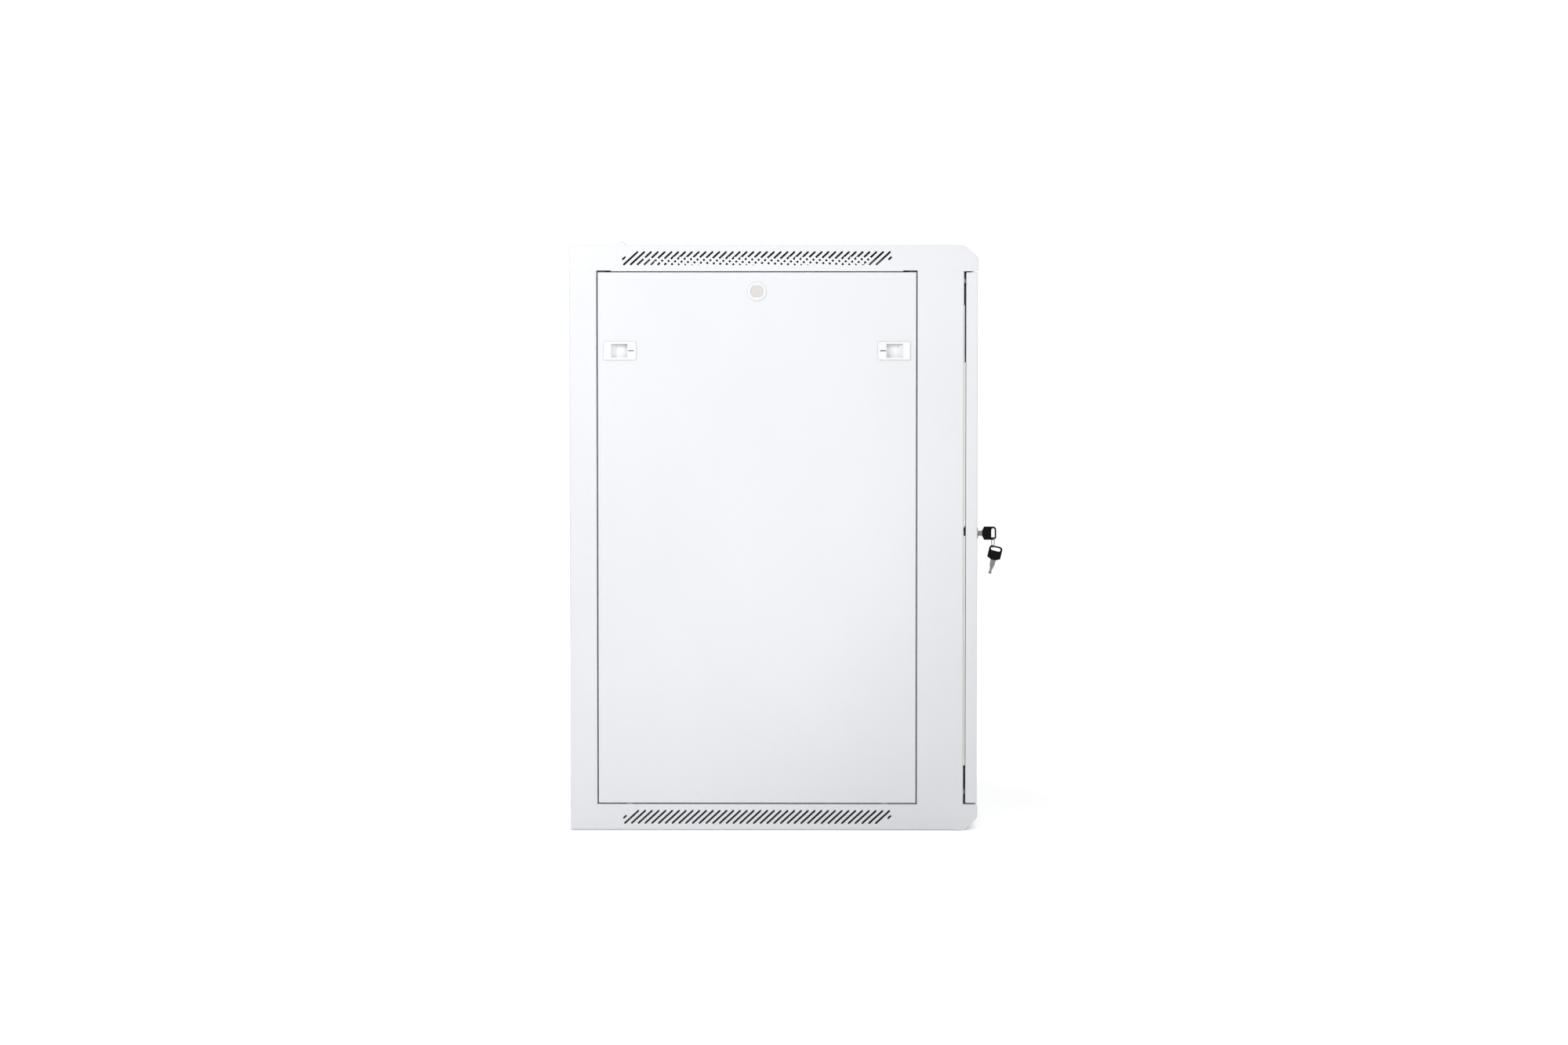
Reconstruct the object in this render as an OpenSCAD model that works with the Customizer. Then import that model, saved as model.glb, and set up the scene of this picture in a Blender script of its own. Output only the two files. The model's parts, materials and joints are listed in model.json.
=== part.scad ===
// Wall-mount 19-inch network cabinet.
// X is the width, the door is at -Y, the wall is at +Y, +Z is up.
// The origin is the centre of the face that the cabinet stands on.
// "Left" is -X and "right" is +X, as seen from in front of the door.

/* [Cabinet] */
// Width over the side panels
cab_w = 600; // [590:1:640]
// Depth from the wall to the nose of the roof and floor
cab_d = 600; // [590:1:640]
// Height over the roof
cab_h = 862; // [860:1:900]
// Height of the side flanges of the roof and floor
flange_h = 38.5; // [37:0.5:40]
// Sheet thickness of the roof, floor, door and side panels
sheet = 1.2; // [1:0.1:1.3]
// Sheet thickness of the posts, rails and supports
frame_sheet = 1.5; // [1.3:0.1:1.6]
// Width of the rear posts, seen from the side
rear_post_w = 40; // [38:1:42]
// Width of the front posts, seen from the side
front_post_w = 68.5; // [66:0.5:70]

/* [Nose of the roof and floor] */
// Length of the chamfer along the depth
chamfer_y = 20; // [16:1:24]
// Height of the chamfer
chamfer_z = 19; // [15:1:22]
// Radius that blends the chamfer into its neighbours
chamfer_r = 6; // [3:1:8]

/* [Vent slots] */
// Number of full slots in a row
vent_count = 38; // [20:2:40]
// Distance from slot to slot
vent_pitch = 10; // [9:0.5:11]
// Width of a slot
vent_w = 3; // [2:0.5:3.5]
// End-to-end length of a full slot
vent_len = 29.5; // [20:0.5:30]
// Slope of a slot above the horizontal
vent_angle = 42.5; // [35:0.5:50]

/* [Door] */
// Thickness of the door
door_t = 17; // [16.5:0.5:18]
// Gap between the door and the front posts
door_gap = 3; // [2.5:0.1:3.5]
// Width of the door frame around the glass, at the sides
stile_w = 74; // [72:1:90]
// Width of the door frame around the glass, above and below
door_rail_w = 60; // [50:1:90]
// Distance of the lock from the left side of the cabinet
lock_inset = 47; // [46:1:50]

/* [Side panels] */
// Gap around a side panel
panel_gap = 1.5; // [1:0.1:2]
// Depth of the folded edge of a side panel
panel_fold = 10; // [8:0.5:10]
// Distance of each finger slide from the middle of the panel
latch_spread = 201; // [180:1:201]
// Height of the finger slides
latch_z = 707; // [690:1:710]
// Height of the blanked lock hole
blank_z = 794; // [790:1:796]

/* [19-inch rails] */
// Number of rack units
rack_units = 18; // [6:1:18]
// Distance between the hole columns
rack_hole_span = 465.1; // [465.1]
// Clear width between the rails
rack_clear_w = 450; // [450]
// Position of the front face of the front rails
front_rail_y = -167; // [-180:1:-160]
// Position of the rear face of the rear rails
rear_rail_y = 204; // [180:1:206]

/* [Hidden] */
$fn = 48;

side_x = cab_w / 2;
wall_y = cab_d / 2;
nose_y = -cab_d / 2;
mid_z = cab_h / 2;
bend_r = 1.5;               // centre-line radius of a fold
touch = 0.05;               // running clearance
cut = 1;                    // how far a cutting shape runs past a face

door_front_y = nose_y + 1;
door_back_y = door_front_y + door_t;
post_front_y = door_back_y + door_gap;
bay_front_y = post_front_y + front_post_w;
bay_back_y = wall_y - rear_post_w;
panel_y0 = bay_front_y + panel_gap;
panel_y1 = bay_back_y - panel_gap;
panel_z0 = flange_h + panel_gap;
panel_z1 = cab_h - flange_h - panel_gap;
panel_mid_y = (panel_y0 + panel_y1) / 2;
door_z0 = panel_z0;
door_z1 = panel_z1;
door_half_w = side_x - 0.5;

vent_z = 19.5;              // height of the vent row inside its flange
short_vent_len = 7;
lip_depth = 12;             // rebate that a side panel closes against
roof_notch = 21;            // how far the roof's rebate stops short of the corners
bend_relief = 1.1;          // what the roof's flange loses there
nose_lip = 35;              // depth of the lip behind the nose
screw_r = 2.95;
screw_hole_r = 3;
foot_tab = 30;              // length of a post's foot tab
foot_h = 60;                // height of a post's tongue
support_low_z = 97;
support_high_z = 765;
rail_low_z = 21;
rail_high_z = cab_h - rail_low_z;
rack_unit_h = 44.45;
support_x = side_x - 53.5;  // centre line of a support's web
rail_web_x = support_x - frame_sheet;
hinge_x = side_x - 7;
hinge_y = door_front_y + door_t / 2;
hinge_pin_r = 3;
lock_x = -side_x + lock_inset;
lock_z = mid_z + 5;

// Turns a shape drawn as (y, z) into one that is extruded along X, centred on x
module along_x(x, len) {
    translate([x, 0, 0]) rotate([90, 0, 90]) linear_extrude(len, center = true) children();
}

// Turns a shape drawn as (x, z) into one that runs from y0 to y1
module along_y(y0, y1) {
    translate([0, y1, 0]) rotate([90, 0, 0]) linear_extrude(y1 - y0) children();
}

// Box from one corner to the other
module box(low, high) {
    translate(low) cube(high - low);
}

// Mirrors what is drawn for the left side when side is 1
module on_side(side) {
    if (side < 0) children();
    else mirror([1, 0, 0]) children();
}

// Mirrors what is drawn for the lower half to the upper half as well
module both_ends() {
    children();
    translate([0, 0, cab_h]) mirror([0, 0, 1]) children();
}

// Slot with round ends, along the first axis
module slot(len, w) {
    square([len - w, w], center = true);
    for (end = [-1, 1]) translate([end * (len - w) / 2, 0]) circle(d = w, $fn = 24);
}

function unit(v) = v / norm(v);

// Cross-section of a sheet folded at right angles along a centre line
module folded(path, t = frame_sheet, r = bend_r) {
    last = len(path) - 1;
    for (i = [0 : last - 1]) {
        way = unit(path[i + 1] - path[i]);
        a = path[i] + (i > 0 ? r : 0) * way;
        b = path[i + 1] - (i < last - 1 ? r : 0) * way;
        across = [abs(way.y), abs(way.x)] * t / 2;
        low = [min(a.x, b.x), min(a.y, b.y)] - across;
        high = [max(a.x, b.x), max(a.y, b.y)] + across;
        translate(low) square(high - low);
    }
    for (i = [1 : last - 1]) {
        into = unit(path[i] - path[i - 1]);
        out = unit(path[i + 1] - path[i]);
        side = into - out;
        translate(path[i] - r * side) intersection() {
            difference() {
                circle(r + t / 2);
                circle(r - t / 2);
            }
            translate([min(side.x, 0), min(side.y, 0)] * 2 * r) square(2 * r);
        }
    }
}

// Bolt along -Z with its head's underside at z = 0 and a hexagon socket
module bolt(head_r, head_h, shank_r, shank_len) {
    difference() {
        cylinder(r = head_r, h = head_h);
        translate([0, 0, head_h * 0.4]) cylinder(r = head_r * 0.45, h = head_h, $fn = 6);
    }
    translate([0, 0, -shank_len]) cylinder(r = shank_r, h = shank_len + touch);
}

// Coil spring along +Z, from z = 0 to z = len
module coil_spring(len, coil_r, wire_r, turns) {
    sides = 6;
    per_turn = 14;
    rings = turns * per_turn;
    points = [
        for (i = [0 : rings]) for (k = [0 : sides - 1])
            let (
                a = 360 * i / per_turn,
                rise = wire_r + (len - 2 * wire_r) * i / rings,
                out = coil_r + wire_r * cos(360 * k / sides)
            )
            [out * cos(a), out * sin(a), rise + wire_r * sin(360 * k / sides)]
    ];
    walls = [
        for (i = [0 : rings - 1]) for (k = [0 : sides - 1])
            let (next = (k + 1) % sides)
            [i * sides + k, (i + 1) * sides + k, (i + 1) * sides + next, i * sides + next]
    ];
    first = [for (k = [0 : sides - 1]) k];
    final = [for (k = [sides - 1 : -1 : 0]) rings * sides + k];
    polyhedron(points, concat(walls, [first, final]), convexity = 10);
}

// ---------------------------------------------------------------- roof and floor

// Corner points of the tray's side view, drawn in by a wall thickness
function tray_points(t) =
    let (long = norm([chamfer_y, chamfer_z]))
    [
        [wall_y - t, t],
        [wall_y - t, flange_h - t],
        [nose_y + t, flange_h - t],
        [nose_y + t, chamfer_z + t * (long - chamfer_z) / chamfer_y],
        [nose_y + (t * long - chamfer_y * (t - chamfer_z)) / chamfer_z, t]
    ];

function half_angle(a, p, b) = acos(unit(a - p) * unit(b - p)) / 2;
function round_centre(a, p, b, r) = p + unit(unit(a - p) + unit(b - p)) * r / sin(half_angle(a, p, b));
function round_start(a, p, b, r) = p + unit(a - p) * r / tan(half_angle(a, p, b));

// Side view of the tray, drawn in by t, with the nose's corners rounded
module tray_outline(t) {
    p = tray_points(t);
    n = len(p);
    r = [0, 0, 4, chamfer_r, chamfer_r];
    polygon([
        for (i = [0 : n - 1])
            let (a = p[(i + n - 1) % n], b = p[(i + 1) % n])
            each r[i] > 0
                ? [round_start(a, p[i], b, r[i] - t), round_start(b, p[i], a, r[i] - t)]
                : [p[i]]
    ]);
    for (i = [2 : 4])
        translate(round_centre(p[i - 1], p[i], p[(i + 1) % n], r[i] - t)) circle(r[i] - t);
}

// Row of slanted slots through one side flange, with a short slot at each end
module vent_row(side, slant, z) {
    along_x(side * side_x, 6) for (i = [-1 : vent_count]) {
        whole = i >= 0 && i < vent_count;
        translate([panel_mid_y + (i - (vent_count - 1) / 2) * vent_pitch, z])
            rotate(slant * vent_angle) slot(whole ? vent_len : short_vent_len, vent_w);
    }
}

foot_screws = [
    for (x = [-1, 1]) for (y = [post_front_y + 37, wall_y - 21]) [x * (side_x - 15), y]
];

// Tray as it lies on the floor, open side up; slant is the way its slots lean
module tray(notch, slant) {
    lip_y0 = bay_front_y + notch;
    lip_y1 = bay_back_y - notch;
    clear = max(notch, lip_depth + 2);
    difference() {
        along_x(0, cab_w) tray_outline(0);
        along_x(0, cab_w - 2 * sheet) tray_outline(sheet);
        box([-side_x + sheet, nose_y + nose_lip, sheet + 5], [side_x - sheet, wall_y - sheet, flange_h + cut]);
        vent_row(-1, -slant, vent_z);
        vent_row(1, slant, vent_z);
        for (p = foot_screws) translate([p.x, p.y, -cut]) cylinder(r = screw_hole_r, h = sheet + 2 * cut);
        for (x = [-hinge_x, hinge_x]) translate([x, hinge_y, flange_h - sheet - cut])
            cylinder(r = 5, h = sheet + 2 * cut);
        if (notch > lip_depth) for (y = [bay_front_y, bay_back_y - notch])
            box([-side_x - cut, y, flange_h - bend_relief], [side_x + cut, y + notch, flange_h + cut]);
    }
    for (side = [-1, 1]) on_side(side) difference() {
        union() {
            box([-side_x + sheet / 2, lip_y0, flange_h - sheet], [-side_x + lip_depth, lip_y1, flange_h]);
            box([-side_x + lip_depth - sheet, bay_front_y + clear, flange_h - sheet],
                [-side_x + lip_depth, bay_back_y - clear, flange_h + lip_depth]);
        }
        for (y = tab_ys) box([-side_x + 2.2, y - 6, flange_h - 2 * sheet], [-side_x + 9.5, y + 6, flange_h + cut]);
    }
}

tab_ys = [panel_mid_y - 188, panel_mid_y + 188];

cable_slot_w = 300;
cable_slot_y0 = 150;
cable_slot_y1 = 190;
cover_y0 = 144;
cover_y1 = 252;
cover_travel = 40;
thumb_y = 238;
rivet_x = 156;

// What the cable entry takes out of the roof or floor plate
module cable_entry_cut() {
    box([-cable_slot_w / 2, cable_slot_y0, -cut], [cable_slot_w / 2, cable_slot_y1, sheet + cut]);
    translate([0, thumb_y, -cut]) cylinder(r = screw_hole_r, h = sheet + 2 * cut);
    for (x = [-rivet_x, rivet_x]) translate([x, thumb_y, -cut]) cylinder(r = 2.05, h = sheet + 2 * cut);
}

fan_x = 95;
fan_y = -20;
fan_r = 56;
fan_slot_pitch = 8;

// Grille for one fan: parallel slots that fill a circle
module fan_grille() {
    for (i = [-6 : 6]) translate([0, i * fan_slot_pitch]) {
        chord = 2 * sqrt(fan_r * fan_r - pow(i * fan_slot_pitch, 2));
        for (half = [-1, 1]) translate([half * (chord / 4 + 1.5), 0]) slot(chord / 2 - 3, 4);
    }
}

module roof() {
    color("whitesmoke") translate([0, 0, cab_h]) mirror([0, 0, 1]) difference() {
        tray(roof_notch, -1);
        cable_entry_cut();
        for (x = [-fan_x, fan_x]) translate([x, fan_y, -cut]) {
            linear_extrude(sheet + 2 * cut) fan_grille();
            for (a = [45 : 90 : 315]) rotate(a) translate([74, 0, 0])
                cylinder(r = 2.2, h = sheet + 2 * cut);
        }
    }
}

foot_bolt_x = 245;
foot_bolt_y = 240;
foot_bolt_r = 4.25;
earth_x = 200;
earth_y = 270;

module floor() {
    color("whitesmoke") difference() {
        tray(2, 1);
        cable_entry_cut();
        for (x = [-foot_bolt_x, foot_bolt_x]) for (y = [-foot_bolt_y, foot_bolt_y])
            translate([x, y, -cut]) cylinder(r = foot_bolt_r, h = sheet + 2 * cut);
        translate([earth_x, earth_y, -cut]) cylinder(r = screw_hole_r, h = sheet + 2 * cut);
    }
}

// ---------------------------------------------------------------- frame

post_x = -side_x + frame_sheet / 2;
rebate_x = -side_x + lip_depth;
post_z0 = flange_h + touch;
post_z1 = cab_h - post_z0;
brim_x = rebate_x + frame_sheet;
support_screw_dz = 27;

// Foot of a left post: a tongue inside the tray and a tab on its plate
module post_foot(y0, y1, screw_y) {
    tongue_x = -side_x + 1.4;
    difference() {
        union() {
            box([tongue_x, y0, sheet], [tongue_x + 1.6, y1, foot_h]);
            box([tongue_x, y0, sheet], [tongue_x + foot_tab, y1, sheet + frame_sheet]);
        }
        translate([-side_x + 15, screw_y, 0]) cylinder(r = screw_hole_r, h = 10);
    }
}

// Holes for the support's screws in a post's rebate
module support_screw_holes(y) {
    for (zc = [support_low_z, support_high_z]) for (dz = [-support_screw_dz, support_screw_dz])
        translate([rebate_x - 5, y, zc + dz]) rotate([0, 90, 0]) cylinder(r = screw_hole_r, h = 10);
}

module front_post(side) {
    front = post_front_y + frame_sheet / 2;
    back = bay_front_y - frame_sheet / 2;
    inner = post_x + 32.5;
    color("whitesmoke") on_side(side) difference() {
        union() {
            translate([0, 0, post_z0]) linear_extrude(post_z1 - post_z0) folded([
                [inner, front + 12.25], [inner, front], [post_x, front], [post_x, back],
                [rebate_x, back], [rebate_x, back + lip_depth + 0.75]
            ]);
            both_ends() post_foot(post_front_y + 17, post_front_y + 57, foot_screws[0].y);
        }
        support_screw_holes(bay_front_y + 6.5);
    }
}

module rear_post(side) {
    front = bay_back_y + frame_sheet / 2;
    back = wall_y - frame_sheet / 2;
    color("whitesmoke") on_side(side) difference() {
        union() {
            translate([0, 0, post_z0]) linear_extrude(post_z1 - post_z0) folded([
                [rebate_x, front - lip_depth - 0.75], [rebate_x, front], [post_x, front],
                [post_x, back], [post_x + 39, back]
            ]);
            both_ends() post_foot(bay_back_y + 4, wall_y - 6, foot_screws[1].y);
        }
        support_screw_holes(bay_back_y - 6.5);
        rear_panel_screw_places() cylinder(r = screw_hole_r, h = 20, center = true);
    }
}

rear_plate_half = 285;
rear_screw_x = 272;
wall_hole_x = 200;
wall_hole_z = 300;
wall_hole_r = 5;
cutout_half_w = 130;
cutout_h = 60;
cutout_zs = [97, 765];

// Puts its child at each rear panel screw of the left half, along Y
module rear_panel_screw_places() {
    for (z = [110, mid_z, cab_h - 110])
        translate([-rear_screw_x, wall_y - frame_sheet, z]) rotate([90, 0, 0]) children();
}

module rear_panel() {
    y0 = wall_y - 2 * frame_sheet;
    color("whitesmoke") difference() {
        union() {
            box([-rear_plate_half, y0, panel_z0], [rear_plate_half, y0 + frame_sheet, panel_z1]);
            for (z = [panel_z0, panel_z1 - frame_sheet])
                box([-rear_plate_half, y0 - 12, z], [rear_plate_half, y0 + frame_sheet / 2, z + frame_sheet]);
        }
        for (side = [-1, 1]) on_side(side) rear_panel_screw_places()
            cylinder(r = screw_hole_r, h = 20, center = true);
        for (x = [-wall_hole_x, wall_hole_x]) for (z = [-wall_hole_z, wall_hole_z])
            translate([x, y0, mid_z + z]) rotate([90, 0, 0]) cylinder(r = wall_hole_r, h = 10, center = true);
        for (z = cutout_zs) box([-cutout_half_w, y0 - cut, z - cutout_h / 2],
            [cutout_half_w, wall_y, z + cutout_h / 2]);
    }
}

module rear_panel_screws() {
    color("silver") for (side = [-1, 1]) on_side(side) rear_panel_screw_places()
        translate([0, 0, frame_sheet]) bolt(5.5, 2.6, screw_r, 2 * frame_sheet);
}

rail_slot_ys = [-145, panel_mid_y, 190];
rail_bolt_ys = [front_rail_y + 15, rear_rail_y - 14];
rail_bolt_dz = 9;

// Hat-shaped channel between a left front post and a left rear post
module support(side, zc) {
    inner = -support_x;
    color("whitesmoke") on_side(side) difference() {
        along_y(bay_front_y + 1, bay_back_y - 1) folded([
            [brim_x, zc - 34], [brim_x, zc - 20], [inner, zc - 20],
            [inner, zc + 20], [brim_x, zc + 20], [brim_x, zc + 34]
        ]);
        for (y = rail_slot_ys) for (dz = [-rail_bolt_dz, rail_bolt_dz]) along_x(inner, 8)
            translate([y, zc + dz]) slot(90, 7);
        for (y = [bay_front_y + 6.5, bay_back_y - 6.5]) for (dz = [-support_screw_dz, support_screw_dz])
            translate([brim_x - 5, y, zc + dz]) rotate([0, 90, 0]) cylinder(r = screw_hole_r, h = 10);
    }
}

// Heights of the hole centres within one rack unit
unit_holes = [6.35, 22.225, 38.1];

// Rail drawn for the left side with its holed face at y and its web going towards way
module rail(side, y, way, bolt_y) {
    face = y + way * frame_sheet / 2;
    hole = 9.5;
    z0 = mid_z - rack_units * rack_unit_h / 2;
    color("lightgray") on_side(side) difference() {
        translate([0, 0, rail_low_z]) linear_extrude(rail_high_z - rail_low_z) folded([
            [-rack_clear_w / 2, face], [-rail_web_x, face], [-rail_web_x, face + way * 26]
        ]);
        for (u = [0 : rack_units - 1]) for (dz = unit_holes)
            translate([-rack_hole_span / 2, y, z0 + u * rack_unit_h + dz]) cube([hole, 8, hole], center = true);
        for (zc = [support_low_z, support_high_z]) for (dz = [-rail_bolt_dz, rail_bolt_dz])
            translate([-rail_web_x, bolt_y, zc + dz]) rotate([0, 90, 0])
                cylinder(r = screw_hole_r, h = 8, center = true);
    }
}

// Puts its child at each rail bolt, with +Z pointing at the middle of the cabinet
module rail_bolt_places() {
    for (side = [-1, 1]) on_side(side) for (y = rail_bolt_ys) for (zc = [support_low_z, support_high_z])
        for (dz = [-rail_bolt_dz, rail_bolt_dz])
            translate([-rail_web_x + frame_sheet / 2, y, zc + dz]) rotate([0, 90, 0]) children();
}

module rail_bolts() {
    color("silver") rail_bolt_places() bolt(5.2, 3, screw_r, 10);
}

module rail_nuts() {
    color("silver") rail_bolt_places() translate([0, 0, -2 * frame_sheet - 5]) difference() {
        union() {
            cylinder(r = 5.7, h = 5, $fn = 6);
            translate([0, 0, 3.6]) cylinder(r = 6.6, h = 1.4);
        }
        translate([0, 0, -cut]) cylinder(r = screw_hole_r, h = 5 + 2 * cut);
    }
}

module frame_screws() {
    color("silver") {
        both_ends() for (p = foot_screws) translate([p.x, p.y, sheet + frame_sheet])
            bolt(5.2, 3, screw_r, sheet + frame_sheet);
        for (side = [-1, 1]) on_side(side) for (y = [bay_front_y + 6.5, bay_back_y - 6.5])
            for (zc = [support_low_z, support_high_z]) for (dz = [-support_screw_dz, support_screw_dz])
                translate([brim_x + frame_sheet / 2, y, zc + dz]) rotate([0, 90, 0])
                    bolt(5.2, 2.6, screw_r, 2 * frame_sheet);
    }
}

// ---------------------------------------------------------------- cable covers and earthing

// Sliding plate over the cable slot, with its lower face at z = 0
module cable_cover() {
    difference() {
        box([-cable_slot_w / 2 - 15, cover_y0, 0], [cable_slot_w / 2 + 15, cover_y1, sheet]);
        slot_y = thumb_y - cover_travel / 2;
        for (x = [-rivet_x, 0, rivet_x]) {
            w = x == 0 ? 2 * screw_hole_r : 4.2;
            translate([x, slot_y, -cut]) linear_extrude(sheet + 2 * cut) rotate(90)
                slot(cover_travel + w, w);
        }
    }
}

// Knurled screw that clamps a cover; its head stands on z = 0 and is as tall as knob_h
module thumb_screw(shank) {
    knob_r = 7;
    knob_h = 7.8;
    grooves = 20;
    difference() {
        union() {
            cylinder(r = knob_r, h = knob_h - 1.5);
            translate([0, 0, knob_h - 1.5]) intersection() {
                cylinder(r = knob_r, h = 1.5);
                translate([0, 0, -16.5]) sphere(r = 18, $fn = 96);
            }
        }
        for (i = [0 : grooves - 1]) rotate(i * 360 / grooves) translate([knob_r + 0.5, 0, -cut])
            cylinder(r = 0.9, h = knob_h + 2 * cut, $fn = 16);
    }
    translate([0, 0, -shank]) cylinder(r = screw_r, h = shank + touch);
}

module roof_cable_cover() {
    color("whitesmoke") translate([0, 0, cab_h + touch]) cable_cover();
}

module floor_cable_cover() {
    color("whitesmoke") translate([0, 0, sheet + touch]) cable_cover();
}

module roof_thumb_screw() {
    color("dimgray") translate([0, thumb_y, cab_h + sheet + 2 * touch]) thumb_screw(10);
}

module floor_thumb_screw() {
    color("dimgray") translate([0, thumb_y, 2 * sheet + 2 * touch]) thumb_screw(2 * sheet);
}

// Shoulder rivets that guide the two covers
module cover_rivets() {
    color("silver") for (x = [-rivet_x, rivet_x]) for (z = [sheet, cab_h])
        translate([x, thumb_y, z + sheet + 2 * touch]) {
            cylinder(r = 4, h = 1.1);
            translate([0, 0, -2 * sheet - 2 * touch]) cylinder(r = 2, h = 2 * sheet + 3 * touch);
        }
}

module earth_stud() {
    color("goldenrod") translate([earth_x, earth_y, 0]) cylinder(r = screw_r, h = 24);
}

module earth_nuts() {
    color("silver") for (z = [sheet, sheet + 8]) translate([earth_x, earth_y, z]) difference() {
        union() {
            cylinder(r = 7, h = 1.2);
            translate([0, 0, 1.2]) cylinder(r = 5.7, h = 5, $fn = 6);
        }
        translate([0, 0, -cut]) cylinder(r = screw_hole_r, h = 10);
    }
}

// ---------------------------------------------------------------- door and its hinge

door_fold = 16;             // width of the door's folded edge at the back
glass_overlap = 12;
glass_t = 4;
seal_t = 0.8;
window_x = door_half_w - stile_w;
window_z0 = door_z0 + door_rail_w;
window_z1 = door_z1 - door_rail_w;
door_skin_y = door_front_y + sheet;
glass_y = door_skin_y + seal_t;
glass_back_y = glass_y + glass_t;
lock_barrel_r = 9.4;

module door_frame() {
    inner_x = door_half_w - sheet;
    color("whitesmoke") difference() {
        box([-door_half_w, door_front_y, door_z0], [door_half_w, door_back_y, door_z1]);
        box([-inner_x, door_skin_y, door_z0 + sheet], [inner_x, door_back_y - sheet, door_z1 - sheet]);
        box([-door_half_w + door_fold, door_back_y - 2 * sheet, door_z0 + door_fold],
            [door_half_w - door_fold, door_back_y + cut, door_z1 - door_fold]);
        box([-window_x, door_front_y - cut, window_z0], [window_x, door_back_y + cut, window_z1]);
        translate([lock_x, 0, lock_z]) rotate([90, 0, 0])
            linear_extrude(400) lock_flats(lock_barrel_r + 0.1);
        translate([hinge_x, hinge_y, 0]) cylinder(r = hinge_pin_r + touch, h = cab_h);
    }
}

module window_frame(outset, y0, y1) {
    difference() {
        box([-window_x - outset, y0, window_z0 - outset], [window_x + outset, y1, window_z1 + outset]);
        box([-window_x, y0 - cut, window_z0], [window_x, y1 + cut, window_z1]);
    }
}

module door_glass() {
    color("lightsteelblue", 0.4) box(
        [-window_x - glass_overlap, glass_y, window_z0 - glass_overlap],
        [window_x + glass_overlap, glass_back_y, window_z1 + glass_overlap]);
}

module glass_seal() {
    color("dimgray") window_frame(glass_overlap, door_skin_y, glass_y);
}

// Clip that presses the glass at the window's left edge, drawn around z = 0
module glass_clip() {
    edge = -window_x - glass_overlap;
    half = 10;
    box([edge - 12, door_skin_y, -half], [edge - 1, door_skin_y + 1.2, half]);
    box([edge - 2.2, door_skin_y, -half], [edge - 1, glass_back_y + 1.2, half]);
    box([edge - 2.2, glass_back_y, -half], [edge + 8, glass_back_y + 1.2, half]);
}

module glass_clips() {
    turn_x = window_x - (window_z1 - window_z0) / 2;
    color("silver") {
        for (side = [-1, 1]) on_side(side) for (z = [-210, 210]) translate([0, 0, mid_z + z]) glass_clip();
        for (up = [-1, 1]) for (x = [-110, 110]) translate([x, 0, mid_z]) rotate([0, up * 90, 0])
            translate([turn_x, 0, 0]) glass_clip();
    }
}

upper_ear_zs = [768, 812];
lower_ear_zs = [45, 61];
ear_t = 1.5;

// U-shaped brackets, welded inside the door, that hold the hinge pins
module hinge_brackets() {
    back = door_skin_y + ear_t;
    color("whitesmoke") for (zs = [lower_ear_zs, upper_ear_zs]) difference() {
        union() {
            box([hinge_x - 10, door_skin_y, zs[0]], [hinge_x + 5, back, zs[1] + ear_t]);
            for (z = zs) box([hinge_x - 10, door_skin_y, z], [hinge_x + 5, door_back_y - 2, z + ear_t]);
        }
        translate([hinge_x, hinge_y, zs[0] - cut]) cylinder(r = hinge_pin_r + touch, h = 60);
    }
}

pin_reach = 10;             // how far a hinge pin stands into its bush

module lower_hinge_pin() {
    color("silver") translate([hinge_x, hinge_y, 0]) {
        translate([0, 0, door_z0 - pin_reach]) cylinder(r = hinge_pin_r, h = 68 - door_z0 + pin_reach);
        translate([0, 0, lower_ear_zs[1] + ear_t]) cylinder(r = 4.8, h = 2);
    }
}

collar_z = 808;
collar_h = 3.9;
pin_spring_r = 3.9;

module upper_hinge_pin() {
    color("silver") translate([hinge_x, hinge_y, 0]) {
        translate([0, 0, 752]) cylinder(r = hinge_pin_r, h = door_z1 + pin_reach - 3 - 752);
        translate([0, 0, collar_z]) cylinder(r = 4.8, h = collar_h);
        translate([-22, 0, 755]) rotate([0, 90, 0]) cylinder(r = 2.4, h = 22);
    }
}

module hinge_pin_spring() {
    z0 = upper_ear_zs[0] + ear_t;
    color("silver") translate([hinge_x, hinge_y, z0 + touch])
        coil_spring(collar_z - z0 - 2 * touch, pin_spring_r, 0.5, 9);
}

// Flanged bushes in the lips of the roof and floor
module hinge_bushes() {
    color("ivory") both_ends() translate([hinge_x, hinge_y, 0]) difference() {
        union() {
            translate([0, 0, flange_h]) cylinder(r = 5.6, h = 0.8);
            translate([0, 0, flange_h - 5]) cylinder(r = 4.95, h = 5.4);
        }
        translate([0, 0, flange_h - 7]) cylinder(r = hinge_pin_r + touch, h = 12);
    }
}

// Soft pads and strips on the left front post, where the door closes
module door_buffers() {
    color("white") for (z = [56, 809.5]) translate([-side_x + 12, post_front_y, z]) rotate([90, 0, 0]) {
        cylinder(r = 4.2, h = 1.2);
        cylinder(r = 3.2, h = 2.6);
    }
    color("white") for (z = [[96, 435], [449, 690]])
        box([-side_x + 1.8, post_front_y - 2.3, z[0]], [-side_x + 10, post_front_y, z[1]]);
}

// ---------------------------------------------------------------- lock and keys

plug_r = 6;
lock_front_y = door_front_y - 3;
barrel_back_y = -266;
cam_y0 = barrel_back_y + 1.5;
cam_t = 2;
key_root_y = lock_front_y - 6.2;    // where the key's head begins
blade_t = 1.8;
blade_len = 21.4;
head_len = 21;
head_h = 19.8;
head_t = 2.6;
strap_u = 2.3;              // head's rim beyond the hole
hole_u = 4.9;               // width of the hole in the head
hole_v = 14.4;              // length of the hole in the head

// Circle with two flats, as a cam lock's barrel and its hole have
module lock_flats(r) {
    intersection() {
        circle(r);
        square([2 * r + 1, 1.7 * r], center = true);
    }
}

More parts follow.
